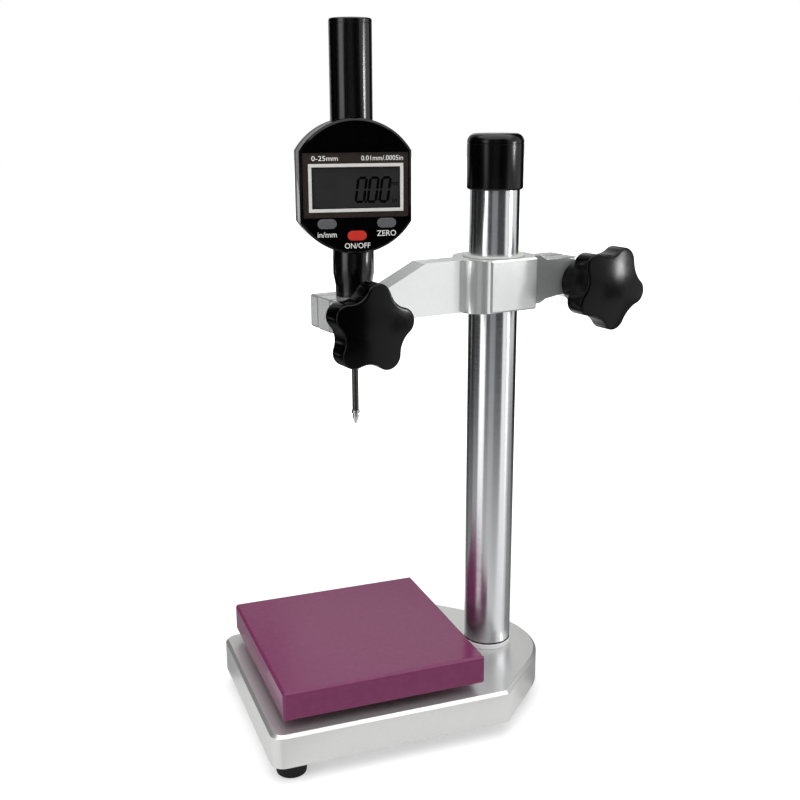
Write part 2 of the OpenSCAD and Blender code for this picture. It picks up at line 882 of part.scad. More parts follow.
module front_case() color(black)
    at_indicator()
        difference() {
            union() {
                difference() {
                    case_solid(-case_front, 0, -1, case_edge);
                    translate([0, 0, case_z])
                        along_y(inner_face, cut)
                            case_outline(case_wall);
                }
                intersection() {
                    at_bosses()
                        rod_y(boss_d, inner_face - case_wall / 2, 0);
                    case_solid(-case_front, 0, -1, case_edge);
                }
            }
            translate([0, 0, case_z + panel_z])
                along_y(-case_front - cut, panel_back)
                    square([panel_w + 2 * face_gap, panel_h + 2 * face_gap], center = true);
            translate([0, 0, case_z + frame_z])
                along_y(-case_front - cut, inner_face + cut)
                    square([glass_w + 2 * face_gap, glass_h + 2 * face_gap], center = true);
            at_buttons()
                along_y(-case_front - cut, 0)
                    oval(button_w + 2 * button_gap, button_h + 2 * button_gap);
            at_bosses()
                rod_y(case_screw_d, inner_face + case_screw_start - cut, cut);
            spigot_holes();
        }

module rear_case() color([0.06, 0.06, 0.065])
    at_indicator()
        difference() {
            union() {
                difference() {
                    case_solid(0, case_back, 1, rear_edge);
                    translate([0, 0, case_z])
                        along_y(-cut, case_back - case_wall)
                            case_outline(case_wall);
                }
                intersection() {
                    at_bosses()
                        rod_y(boss_d + 1, 0, case_back - case_wall / 2);
                    case_solid(0, case_back, 1, rear_edge);
                }
                translate([battery_x, 0, case_z + battery_z])
                    rod_y(battery_d + 2 * loose + 2 * well_wall, battery_front, case_back - case_wall / 2);
                for (z = [rod_bottom, rod_top - lug_h])
                    translate([rod_x - rod_d, rod_y - rod_d, z])
                        cube([2 * rod_d, case_back - rod_y, lug_h]);
            }
            translate([battery_x, 0, case_z + battery_z]) {
                rod_y(battery_d + 2 * loose, battery_front - cut, case_back);
                rod_y(cover_d + 2 * face_gap, case_back - case_wall, case_back + cut);
            }
            translate([rod_x, rod_y, case_bottom])
                cylinder(d = rod_d + 2 * run, h = case_d);
            at_bosses() {
                rod_y(case_screw_d + 2 * face_gap, -cut, case_back + cut);
                rod_y(case_head_d + 2 * face_gap, case_back - case_head_h - face_gap, case_back + cut);
            }
            spigot_holes();
        }

module case_screws() color(steel)
    at_indicator()
        at_bosses()
            difference() {
                union() {
                    rod_y(case_screw_d - 2 * run, inner_face + case_screw_start, case_back - case_head_h);
                    rod_y(case_head_d, case_back - case_head_h - face_gap, case_back - face_gap);
                }
                translate([0, case_back, 0])
                    cube([case_head_d, 2 * case_slot_h, case_slot_w], center = true);
            }

// Printed sheet let into the face, with a window inside the bright frame
module display_panel() color([0.10, 0.07, 0.06])
    at_indicator()
        translate([0, 0, case_z])
            along_y(-case_front + panel_recess, panel_back)
                difference() {
                    translate([0, panel_z])
                        square([panel_w, panel_h], center = true);
                    translate([0, frame_z])
                        square([frame_w - 2 * frame_bar, frame_h - 2 * frame_bar], center = true);
                }

// Bright frame laid on the sheet round its window
module display_frame() color([0.85, 0.85, 0.84])
    at_indicator()
        translate([0, 0, case_z + frame_z])
            along_y(-case_front, -case_front + panel_recess)
                difference() {
                    square([frame_w, frame_h], center = true);
                    square([frame_w - 2 * frame_bar, frame_h - 2 * frame_bar], center = true);
                }

module display_glass() color([0.15, 0.15, 0.15])
    at_indicator()
        translate([0, 0, case_z + frame_z])
            along_y(panel_back, glass_back)
                square([glass_w, glass_h], center = true);

// Tray behind the wall that holds the display against the sheet
module display_carrier() color([0.2, 0.2, 0.2])
    at_indicator()
        translate([0, 0, case_z])
            difference() {
                along_y(inner_face, board_front)
                    intersection() {
                        case_outline(case_wall + face_gap);
                        translate([0, frame_z])
                            square([case_w, frame_h + 2 * carrier_margin], center = true);
                    }
                translate([0, 0, frame_z])
                    along_y(inner_face - cut, glass_back)
                        square([glass_w + 2 * face_gap, glass_h + 2 * face_gap], center = true);
            }

module main_board() color([0.05, 0.25, 0.15])
    at_indicator()
        difference() {
            translate([0, 0, case_z])
                along_y(board_front, board_front + board_t)
                    intersection() {
                        case_outline(case_wall + face_gap);
                        square([case_w, case_d - 2 * spigot_depth - 2 * cut], center = true);
                    }
            at_bosses()
                rod_y(boss_d + 2 * loose, -case_front, 0);
        }

module sensor_strip() color(brass_colour)
    at_indicator()
        translate([-slider_w / 2, board_front + board_t, slider_z])
            cube([slider_w, strip_t, slider_h + spindle_travel]);

module battery() color(steel)
    at_indicator()
        translate([battery_x, 0, case_z + battery_z])
            rod_y(battery_d, battery_front + face_gap, battery_front + battery_t);

module battery_clip() color(brass_colour)
    at_indicator()
        translate([battery_x, battery_front - clip_t / 2, case_z + battery_z])
            cube([battery_d + 2 * well_wall, clip_t, clip_w], center = true);

module battery_cover() color(black)
    at_indicator()
        translate([battery_x, 0, case_z + battery_z])
            difference() {
                union() {
                    rod_y(battery_d, battery_front + battery_t + face_gap, case_back - face_gap);
                    rod_y(cover_d, case_back - case_wall + face_gap, case_back - face_gap);
                }
                translate([0, case_back, 0])
                    cube([battery_d / 2, 2 * coin_slot_h, coin_slot_w], center = true);
            }

// Round of the case that the neck and the tube are saddled to
module case_saddle() {
    translate([0, 0, case_z])
        rod_y(case_d + 2 * face_gap, -case_d, case_d, 128);
}

module top_tube() color(black)
    at_indicator()
        difference() {
            union() {
                difference() {
                    translate([0, 0, case_z])
                        cylinder(d = tube_d, h = spring_top - case_z);
                    case_saddle();
                }
                translate([0, 0, case_top - spigot_depth])
                    cylinder(d = spigot_d, h = spigot_depth + cut);
            }
            translate([0, 0, case_z])
                cylinder(d = tube_bore, h = tube_top);
        }

module tube_cap() color(black)
    at_indicator()
        difference() {
            union() {
                translate([0, 0, tube_top - tube_cap_t])
                    cylinder(d = tube_d, h = tube_cap_t - tube_cap_edge);
                translate([0, 0, tube_top - tube_cap_edge])
                    cylinder(d1 = tube_d, d2 = tube_d - 2 * tube_cap_edge, h = tube_cap_edge);
                translate([0, 0, spring_top - tube_plug])
                    cylinder(d = tube_bore - 2 * run, h = tube_plug + cut);
            }
            translate([0, 0, spring_top - tube_plug - cut])
                cylinder(d = spring_d + 2 * loose, h = tube_plug + cut);
        }

module neck() color(black)
    at_indicator()
        difference() {
            union() {
                difference() {
                    translate([0, 0, neck_foot])
                        rotate_extrude()
                            polygon([
                                [0, 0], [neck_foot_d / 2, 0], [neck_foot_d / 2, neck_straight],
                                [neck_d / 2, neck_flare], [neck_d / 2, case_z - neck_foot],
                                [0, case_z - neck_foot]
                            ]);
                    case_saddle();
                }
                translate([0, 0, case_bottom - cut])
                    cylinder(d = spigot_d, h = spigot_depth + cut);
            }
            translate([0, 0, neck_foot - cut])
                cylinder(d = spindle_d + 4 * loose, h = case_d);
            translate([0, 0, neck_foot - cut])
                cylinder(d = stem_d + 2 * run, h = stem_top - neck_foot + cut);
        }

module stem() color(steel)
    at_indicator()
        ring(stem_d, stem_bore, stem_bottom, stem_top - stem_bottom);

module lower_bush() color(brass_colour)
    at_indicator()
        ring(stem_bore - 2 * run, spindle_d + 2 * run, stem_bottom, lower_bush_len);

module upper_bush() color(brass_colour)
    at_indicator()
        ring(tube_bore - 2 * run, spindle_d + 2 * run, upper_bush_bottom, upper_bush_len);

module guide_rod() color(steel)
    at_indicator()
        translate([rod_x, rod_y, rod_bottom])
            cylinder(d = rod_d, h = rod_top - rod_bottom);

// A button: cap through the case's wall, flange behind it and a nub over its switch
module button_cap(x, z) {
    at_indicator()
        translate([x, 0, case_z + z]) {
            along_y(-case_front - button_out, inner_face + face_gap + flange_t / 2)
                oval(button_w, button_h);
            along_y(inner_face + face_gap, inner_face + face_gap + flange_t)
                oval(button_w + 2 * flange, button_h + 2 * flange);
            rod_y(nub_d, inner_face + flange_t, board_front - button_travel - nub_gap);
        }
}

module unit_button() color([0.45, 0.45, 0.45])
    button_cap(-side_button_x, side_button_z);

module power_button() color([0.80, 0.12, 0.09])
    button_cap(0, mid_button_z);

module zero_button() color([0.45, 0.45, 0.45])
    button_cap(side_button_x, side_button_z);

module spindle() color(steel)
    at_indicator()
        difference() {
            translate([0, 0, contact_top])
                cylinder(d = spindle_d, h = spring_bottom - contact_top + cut);
            translate([0, 0, contact_top - cut])
                cylinder(d = contact_stud_d + 2 * run, h = stud_hole + cut);
        }

module spring_seat() color(brass_colour)
    at_indicator()
        ring(spring_d + 2 * loose, spindle_d + 2 * run, seat_bottom, seat_t);

// Block on the spindle that reads the strip and keeps the spindle from turning
module slider_block() color([0.2, 0.2, 0.2])
    at_indicator()
        difference() {
            translate([0, 0, slider_z])
                linear_extrude(slider_h)
                    polygon([
                        [-slider_w / 2, slider_front], [slider_w / 2, slider_front],
                        [rod_x + rod_d, rod_y - rod_d], [rod_x + rod_d, slider_lug_back],
                        [rod_x - rod_d, slider_lug_back], [slider_w / 2, slider_back],
                        [-slider_w / 2, slider_back]
                    ]);
            translate([0, 0, slider_z - cut])
                cylinder(d = spindle_d + 2 * run, h = slider_h + 2 * cut);
            translate([rod_x, rod_y, slider_z - cut])
                cylinder(d = rod_d + 2 * run, h = slider_h + 2 * cut);
        }

module contact_point() color([0.75, 0.75, 0.76])
    at_indicator()
        rotate_extrude()
            polygon([
                [0, tip_z], [contact_tip_d / 2, tip_z], [contact_d / 2, tip_z + contact_cone],
                [contact_d / 2, tip_z + contact_cone + contact_rim],
                [contact_neck_d / 2, tip_z + contact_cone + contact_rim],
                [contact_neck_d / 2, contact_top - contact_collar_h],
                [contact_collar_d / 2, contact_top - contact_collar_h],
                [contact_collar_d / 2, contact_top], [contact_stud_d / 2, contact_top],
                [contact_stud_d / 2, contact_top + contact_stud_len], [0, contact_top + contact_stud_len]
            ]);

function spring_point(t) = [
    spring_r * cos(360 * spring_turns * t),
    spring_r * sin(360 * spring_turns * t),
    spring_bottom + spring_wire / 2 + face_gap + spring_rise * t
];

module return_spring() color(steel)
    at_indicator() {
        count = spring_turns * spring_rings;
        rings = [
            for (i = [0 : count])
                let (centre = spring_point(i / count), turn = 360 * spring_turns * i / count)
                for (k = [0 : spring_sides - 1])
                    let (a = 360 * k / spring_sides)
                    centre + spring_wire / 2 * [cos(a) * cos(turn), cos(a) * sin(turn), sin(a)]
        ];
        walls = [
            for (i = [0 : count - 1], k = [0 : spring_sides - 1])
                let (
                    p = i * spring_sides + k,
                    q = i * spring_sides + (k + 1) % spring_sides
                )
                for (f = [[p, q, q + spring_sides], [p, q + spring_sides, p + spring_sides]])
                    f
        ];
        last = count * spring_sides;
        ends = [
            for (k = [1 : spring_sides - 2])
                for (f = [[0, k + 1, k], [last, last + k, last + k + 1]])
                    f
        ];
        polyhedron(points = rings, faces = concat(walls, ends));
    }

base_plate();
rubber_feet();
foot_screws();
plate_spacers();
work_plate();
plate_inserts();
plate_screws();
column();
column_collar();
collar_seal();
column_bolt();
column_washer();
column_cap();
column_bush();
arm();
stem_holder();
fork_nut();
tail_nut();
tail_washer();
column_knob();
column_stud();
fork_washer();
indicator_knob();
indicator_stud();
front_case();
rear_case();
case_screws();
display_panel();
display_frame();
display_glass();
display_carrier();
main_board();
sensor_strip();
battery();
battery_clip();
battery_cover();
top_tube();
tube_cap();
neck();
stem();
lower_bush();
upper_bush();
guide_rod();
unit_button();
power_button();
zero_button();
spindle();
spring_seat();
slider_block();
contact_point();
return_spring();
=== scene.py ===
import json
import math

import bmesh
import bpy
from mathutils import Matrix, Vector


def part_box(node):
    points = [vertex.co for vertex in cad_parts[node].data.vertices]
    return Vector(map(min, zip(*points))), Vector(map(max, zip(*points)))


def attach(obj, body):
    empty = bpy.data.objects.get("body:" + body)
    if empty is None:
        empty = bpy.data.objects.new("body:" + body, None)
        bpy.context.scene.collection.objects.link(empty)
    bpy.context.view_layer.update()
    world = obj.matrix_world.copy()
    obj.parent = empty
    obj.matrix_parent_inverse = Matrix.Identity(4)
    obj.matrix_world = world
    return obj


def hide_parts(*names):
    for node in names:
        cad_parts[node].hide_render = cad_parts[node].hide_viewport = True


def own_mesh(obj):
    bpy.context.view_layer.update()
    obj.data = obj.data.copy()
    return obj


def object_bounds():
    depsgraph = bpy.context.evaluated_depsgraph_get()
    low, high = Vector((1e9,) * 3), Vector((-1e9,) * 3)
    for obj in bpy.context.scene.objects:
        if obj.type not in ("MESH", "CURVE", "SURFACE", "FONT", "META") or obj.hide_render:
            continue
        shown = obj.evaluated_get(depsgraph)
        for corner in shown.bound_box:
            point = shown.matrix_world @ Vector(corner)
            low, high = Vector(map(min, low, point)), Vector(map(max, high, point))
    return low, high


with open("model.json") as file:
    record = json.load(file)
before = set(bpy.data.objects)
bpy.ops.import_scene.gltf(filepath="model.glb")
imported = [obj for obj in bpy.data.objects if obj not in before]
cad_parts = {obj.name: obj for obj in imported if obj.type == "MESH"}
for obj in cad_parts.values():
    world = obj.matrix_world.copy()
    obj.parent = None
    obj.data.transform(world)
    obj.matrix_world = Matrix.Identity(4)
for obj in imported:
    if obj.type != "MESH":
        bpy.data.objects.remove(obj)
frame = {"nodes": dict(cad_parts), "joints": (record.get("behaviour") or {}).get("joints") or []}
cad_low, cad_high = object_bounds()


# Base plate. A slab of aluminium with two round corners and a round end under the column,
# milled, bead blasted and clear anodised; everything else is screwed to it.
MM = 0.001
grain_span, grain_detail = (0.3, 0.7), 3.0
sharp_deg, rounded_deg = 35, 28
weld_mm, flat_deg = 0.001, 0.4


def linear(code):
    """An sRGB hex colour as linear RGBA."""
    parts = [int(code[i:i + 2], 16) / 255 for i in (1, 3, 5)]
    return [c / 12.92 if c <= 0.04045 else ((c + 0.055) / 1.055) ** 2.4 for c in parts] + [1.0]


def add(tree, kind, links=None, **settings):
    """Adds a node with its settings; links gives each input a value or another node's output."""
    node = tree.nodes.new("ShaderNode" + kind)
    for key, value in settings.items():
        setattr(node, key, value)
    for key, value in (links or {}).items():
        if isinstance(value, bpy.types.NodeSocket):
            tree.links.new(value, node.inputs[key])
        else:
            node.inputs[key].default_value = value
    return node


def grained(name, sockets, tones, rough, grain_mm, height_mm, stretch=(1, 1, 1)):
    """Two close tones, mixed by a grain that also varies the gloss and lifts the surface."""
    finish = bpy.data.materials.new(name)
    finish.use_nodes = True
    tree = finish.node_tree
    shader = tree.nodes["Principled BSDF"]
    for key, value in sockets.items():
        shader.inputs[key].default_value = value
    where = add(tree, "TexCoord")
    run = add(tree, "Mapping", {"Vector": where.outputs["Object"], "Scale": stretch})
    grain = add(tree, "TexNoise", {"Vector": run.outputs["Vector"], "Scale": 1 / (grain_mm * MM),
                                   "Detail": grain_detail})
    tone = add(tree, "ValToRGB", {"Fac": grain.outputs["Fac"]})
    for element, place, code in zip(tone.color_ramp.elements, grain_span, tones):
        element.position = place
        element.color = linear(code)
    gloss = add(tree, "MapRange", {"Value": grain.outputs["Fac"],
                                   "From Min": grain_span[0], "From Max": grain_span[1],
                                   "To Min": rough[0], "To Max": rough[1]})
    lift = add(tree, "Bump", {"Height": grain.outputs["Fac"], "Distance": height_mm * MM})
    tree.links.new(tone.outputs["Color"], shader.inputs["Base Color"])
    tree.links.new(gloss.outputs["Result"], shader.inputs["Roughness"])
    tree.links.new(lift.outputs["Normal"], shader.inputs["Normal"])
    return finish


def placed(name, data):
    """An object put into the scene."""
    made = bpy.data.objects.new(name, data)
    bpy.context.scene.collection.objects.link(made)
    return made


def piece(name, mesh, finish, body, nodes, edge_mm=0, steps=3):
    """Makes a mesh a piece of the object that stands for CAD nodes, with its edges rounded."""
    made = placed(name, mesh)
    mesh.materials.append(finish)
    mesh.polygons.foreach_set("use_smooth", [True] * len(mesh.polygons))
    mesh.set_sharp_from_angle(angle=math.radians(sharp_deg))
    if edge_mm:
        rounded = made.modifiers.new("rounded edges", "BEVEL")
        rounded.limit_method = "ANGLE"
        rounded.angle_limit = math.radians(rounded_deg)
        rounded.width = edge_mm * MM
        rounded.segments = steps
        rounded.harden_normals = True
    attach(made, body)
    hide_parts(*nodes)
    return made


def meshed(name, shape):
    """A mesh of a finished shape, with its faces turned outwards."""
    bmesh.ops.recalc_face_normals(shape, faces=shape.faces)
    mesh = bpy.data.meshes.new(name)
    shape.to_mesh(mesh)
    shape.free()
    return mesh


def dressed(node, finish, body, edge_mm, steps=3):
    """A copy of a CAD node, welded and with its flat faces made whole for rounded edges."""
    name = node + "_piece"
    shape = bmesh.new()
    shape.from_mesh(frame["nodes"][node].data)
    bmesh.ops.remove_doubles(shape, verts=shape.verts, dist=weld_mm * MM)
    bmesh.ops.dissolve_limit(shape, angle_limit=math.radians(flat_deg),
                             verts=shape.verts, edges=shape.edges)
    return piece(name, meshed(name, shape), finish, body, [node], edge_mm, steps)


def coat(finish, *nodes):
    """Gives CAD nodes that keep their own mesh a better finish."""
    for node in nodes:
        frame["nodes"][node].material_slots[0].material = finish


# The blasted grain is about 0.1 mm; it is drawn at 0.45 mm to show at all.
blasted_aluminium = grained(
    "bead-blasted anodised aluminium", {"Metallic": 0.75}, ("#DADAD9", "#E0E0DF"),
    rough=(0.3, 0.36), grain_mm=0.45, height_mm=0.001)
dressed("base_plate", blasted_aluminium, "stand", edge_mm=0.45)


# Feet. Four tapered rubber buttons under the base, each with a steel cap screw up its middle.
# Moulded rubber: matt black with a fine grain of about 0.2 mm, drawn at 0.5 mm to show.
moulded_rubber = grained(
    "moulded rubber", {"Specular IOR Level": 0.3}, ("#0C0B0B", "#141312"),
    rough=(0.62, 0.78), grain_mm=0.5, height_mm=0.02)
zinc_steel = grained(
    "zinc-plated steel", {"Metallic": 1.0}, ("#8E9092", "#A6A8AA"),
    rough=(0.25, 0.38), grain_mm=0.7, height_mm=0.004)
dressed("rubber_feet", moulded_rubber, "stand", edge_mm=0.8)
coat(zinc_steel, "foot_screws")


# Work plate. A square ceramic plate with ground chamfers and a plum glaze, held from below on four
# steel spacers by screws into brass inserts. Fired glaze: glossy, with a faint waviness like
# orange peel.
plum_glaze = grained(
    "fired plum glaze", {"Specular IOR Level": 0.26}, ("#752F58", "#7A345C"),
    rough=(0.16, 0.2), grain_mm=3.0, height_mm=0.0006)
turned_brass = grained(
    "turned brass", {"Metallic": 1.0}, ("#B08D4A", "#C4A25C"),
    rough=(0.22, 0.34), grain_mm=0.6, height_mm=0.003, stretch=(1, 1, 8))
dressed("work_plate", plum_glaze, "stand", edge_mm=0.35)
coat(zinc_steel, "plate_spacers", "plate_screws")
coat(turned_brass, "plate_inserts")


# Column. A ground steel bar, hard chromed and polished, standing on a collar with a spigot below;
# a bolt from under the base pulls it down. Chrome mirrors the room; fine polishing rings run
# round it.
lathe_sides = 128


def turned(name, axis, outline, finish, body, nodes):
    """A piece turned on a lathe: outline lists (radius, height) in mm, from axis to axis."""
    shape = bmesh.new()
    rings = []
    turns = [2 * math.pi * k / lathe_sides for k in range(lathe_sides)]
    for radius, height in outline:
        if radius:
            spots = [(axis[0] + radius * MM * math.cos(a), axis[1] + radius * MM * math.sin(a),
                      height * MM) for a in turns]
        else:
            spots = [(axis[0], axis[1], height * MM)]
        rings.append([shape.verts.new(p) for p in spots])
    for low, high in zip(rings, rings[1:]):
        for k in range(lathe_sides):
            corners = [low[k % len(low)], low[(k + 1) % len(low)],
                       high[(k + 1) % len(high)], high[k % len(high)]]
            shape.faces.new(list(dict.fromkeys(corners)))
    return piece(name, meshed(name, shape), finish, body, nodes)


def middle(node):
    """Where the upright axis of a round CAD node stands, and its lowest and highest level in mm."""
    low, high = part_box(node)
    return ((low.x + high.x) / 2, (low.y + high.y) / 2), low.z / MM, high.z / MM


# Polishing rings are microns apart; they are drawn 0.6 mm apart to show as a soft streakiness.
# They smear what the bar mirrors along its length.
hard_chrome = grained(
    "polished hard chrome",
    {"Metallic": 1.0, "Anisotropic": 0.85, "Anisotropic Rotation": 0.25}, ("#D6D8DB", "#DEE0E2"),
    rough=(0.2, 0.24), grain_mm=9.0, height_mm=0.0, stretch=(1, 1, 15))
tree = hard_chrome.node_tree
polish = add(tree, "Tangent", direction_type="RADIAL", axis="Z")
tree.links.new(polish.outputs["Tangent"], tree.nodes["Principled BSDF"].inputs["Tangent"])
column_axis, column_low, column_high = middle("column")
column_foot = middle("collar_seal")[2]
column_r, spigot_r, bolt_hole_r, bolt_hole_deep = 12, 8, 4.04, 20
spigot_edge, foot_edge, top_edge = 0.4, 0.3, 1
bolt_hole_end = column_low + bolt_hole_deep
turned("column_bar", column_axis, [
    (0, bolt_hole_end), (bolt_hole_r, bolt_hole_end), (bolt_hole_r, column_low),
    (spigot_r - spigot_edge, column_low), (spigot_r, column_low + spigot_edge),
    (spigot_r, column_foot), (column_r - foot_edge, column_foot),
    (column_r, column_foot + foot_edge), (column_r, column_high - top_edge),
    (column_r - top_edge, column_high), (0, column_high),
], hard_chrome, "stand", ["column"])
coat(zinc_steel, "column_bolt", "column_washer")


# Collar and seal. A white nylon ring under the column hides the joint with the base, and a thin
# black rubber ring lies between the two. The nylon is turned, and the column's bolt holds both.
white_nylon = grained(
    "turned white nylon", {"Specular IOR Level": 0.4}, ("#ECECED", "#F4F4F4"),
    rough=(0.35, 0.48), grain_mm=1.0, height_mm=0.006, stretch=(1, 1, 6))
dressed("column_collar", white_nylon, "stand", edge_mm=0.35)
dressed("collar_seal", moulded_rubber, "stand", edge_mm=0.12)


# Column cap. A soft vinyl cap pushed over the column's end: round shoulder, a faint parting line
# below it and a small lead-in at the rim. Dipped vinyl: black, between satin and gloss.
soft_vinyl = grained(
    "dipped black vinyl", {"Specular IOR Level": 0.28}, ("#010102", "#020203"),
    rough=(0.2, 0.25), grain_mm=0.9, height_mm=0.0003)
cap_axis, cap_low, cap_high = middle("column_cap")
cap_r, cap_round, cap_bore, cap_top, bore_edge = 13.5, 4.0, 12.04, 2.4, 0.2
seam_drop, seam_half, seam_floor_half, seam_deep = 0.6, 0.3, 0.15, 0.16
shoulder_steps = 10
# Each corner of the lead-in: how far it lies inside the cap's side, and how far above its rim.
lead_in = (0.9, 0), (0.65, 0.1), (0.1, 0.65), (0, 0.95)


def quarter(steps):
    """The angles of a quarter turn, cut into steps."""
    return [math.pi / 2 * k / steps for k in range(steps + 1)]


shoulder = [(cap_r - cap_round * (1 - math.sin(a)), cap_high - cap_round * (1 - math.cos(a)))
            for a in reversed(quarter(shoulder_steps))]
seam = cap_high - cap_round - seam_drop
cap_inside = cap_high - cap_top
turned("column_end_cap", cap_axis, [
    (0, cap_inside), (cap_bore, cap_inside),
    (cap_bore, cap_low + bore_edge), (cap_bore + bore_edge, cap_low),
    *[(cap_r - inset, cap_low + rise) for inset, rise in lead_in],
    (cap_r, seam - seam_half), (cap_r - seam_deep, seam - seam_floor_half),
    (cap_r - seam_deep, seam + seam_floor_half), (cap_r, seam + seam_half),
    *shoulder, (0, cap_high),
], soft_vinyl, "stand", ["column_cap"])


# Arm. A cast aluminium arm, machined, brushed and clear anodised: a split hub round the column with
# a flat pad in front, two clamp ears behind and a fork at the free end that holds a middle layer.
# A split plastic bush lines the hub.
turned_acetal = grained(
    "turned natural acetal", {}, ("#CDCDC8", "#D8D8D3"),
    rough=(0.35, 0.45), grain_mm=0.8, height_mm=0.003, stretch=(1, 1, 6))
# Brush lines are about 0.05 mm wide; they are drawn 0.35 mm wide and run along the arm.
brushed_aluminium = grained(
    "brushed anodised aluminium", {"Metallic": 0.72}, ("#E8EAE9", "#EEF0EF"),
    rough=(0.2, 0.25), grain_mm=0.35, height_mm=0.0003, stretch=(0.06, 1, 1))
joints = {joint["name"]: joint for joint in frame["joints"]}
clamp_axis = Vector(joints["indicator_knob_turn"]["axis"])
holder_levels = [v.co.dot(clamp_axis) for v in frame["nodes"]["stem_holder"].data.vertices]
slits = min(holder_levels), max(holder_levels)
slit_reach_mm, slit_mm = 0.3, 0.9
casting_sharp, casting_room_mm = math.radians(18), 2.0


def at_slit(vert, level):
    """Whether a corner lies on one of the two slits between the fork's cheeks and the holder."""
    return abs(vert.co.dot(clamp_axis) - level) < slit_reach_mm * MM


def casting(node):
    """A piece of the arm, rounded at roomy edges; the slits and small corners stay as cut."""
    made = dressed(node, brushed_aluminium, "arm", edge_mm=0.35)
    made.data.set_sharp_from_angle(angle=casting_sharp)
    weights = made.data.attributes.new("bevel_weight_edge", "FLOAT", "EDGE")
    shape = bmesh.new()
    shape.from_mesh(made.data)
    for e in shape.edges:
        sharp = e.calc_face_angle() > casting_sharp
        shortest = min(n.calc_length() for v in e.verts for n in v.link_edges)
        roomy = shortest > casting_room_mm * MM
        in_slit = any(all(at_slit(v, level) for v in e.verts) for level in slits)
        weights.data[e.index].value = float(sharp and roomy and not in_slit)
    shape.free()
    made.modifiers["rounded edges"].limit_method = "WEIGHT"
    made.modifiers["rounded edges"].use_clamp_overlap = False
    return made


casting("arm")
holder = casting("stem_holder")
# The holder's solid fills the fork; it is drawn thinner, so that a dark slit shows on each side.
for v in holder.data.vertices:
    for level, inward in zip(slits, (1, -1)):
        if at_slit(v, level):
            v.co += clamp_axis * inward * slit_mm * MM
dressed("column_bush", turned_acetal, "column_bush", edge_mm=0.15)
coat(zinc_steel, "fork_nut", "tail_nut")


# Clamp knobs. Two black five-lobed knobs moulded on their studs, one for the column clamp, one for
# the indicator's fork. Thermoset moulding: deep gloss with a slow waviness, rounded rims and a
# crowned face.
knob_black = grained(
    "glossy black thermoset", {"Specular IOR Level": 0.15}, ("#010101", "#020202"),
    rough=(0.16, 0.2), grain_mm=2.5, height_mm=0.0005)
up = Vector((0, 0, 1))
lobes, lobe_r, hollow_depth = 5, 6.0, 5.0
star_t, crown_r, rim_r, under_r = 12.5, 90.0, 0.9, 0.8
hub_r, hub_blend, bore_deep = 11.0, 1.2, 6
# Each corner of the hub's edge: how far it lies inside the hub's side, and how far above its seat.
hub_edge = (0.5, 0), (0.15, 0.15), (0, 0.5)
lobe_steps, hollow_steps, blend_steps, rim_steps = 12, 6, 4, 8
face_shares = 0.94, 0.86, 0.75, 0.6, 0.42, 0.22


def star_outline(width, inset, turn):
    """A knob's outline drawn in by inset: lobes with hollows that run tangent to them."""
    half = math.pi / lobes
    lobe_c, hollow_in = width / 2 - lobe_r, width / 2 - hollow_depth
    step = lobe_r - hollow_in
    hollow_c = (lobe_c ** 2 - step ** 2) / (2 * (step + lobe_c * math.cos(half)))
    hollow_r = hollow_c - hollow_in
    lobe_half = math.atan2(hollow_c * math.sin(half), hollow_c * math.cos(half) - lobe_c)
    hollow_half = lobe_half - half
    points = []
    for i in range(lobes):
        at = turn + i * 2 * math.pi / lobes
        mid = at + half
        arcs = [(at, lobe_c, lobe_r - inset, lobe_half * k / lobe_steps)
                for k in range(-lobe_steps, lobe_steps + 1)]
        arcs += [(mid, hollow_c, hollow_r + inset, math.pi - hollow_half * k / hollow_steps)
                 for k in range(1 - hollow_steps, hollow_steps)]
        points += [(c * math.cos(a) + r * math.cos(a + b), c * math.sin(a) + r * math.sin(a + b))
                   for a, c, r, b in arcs]
    return points


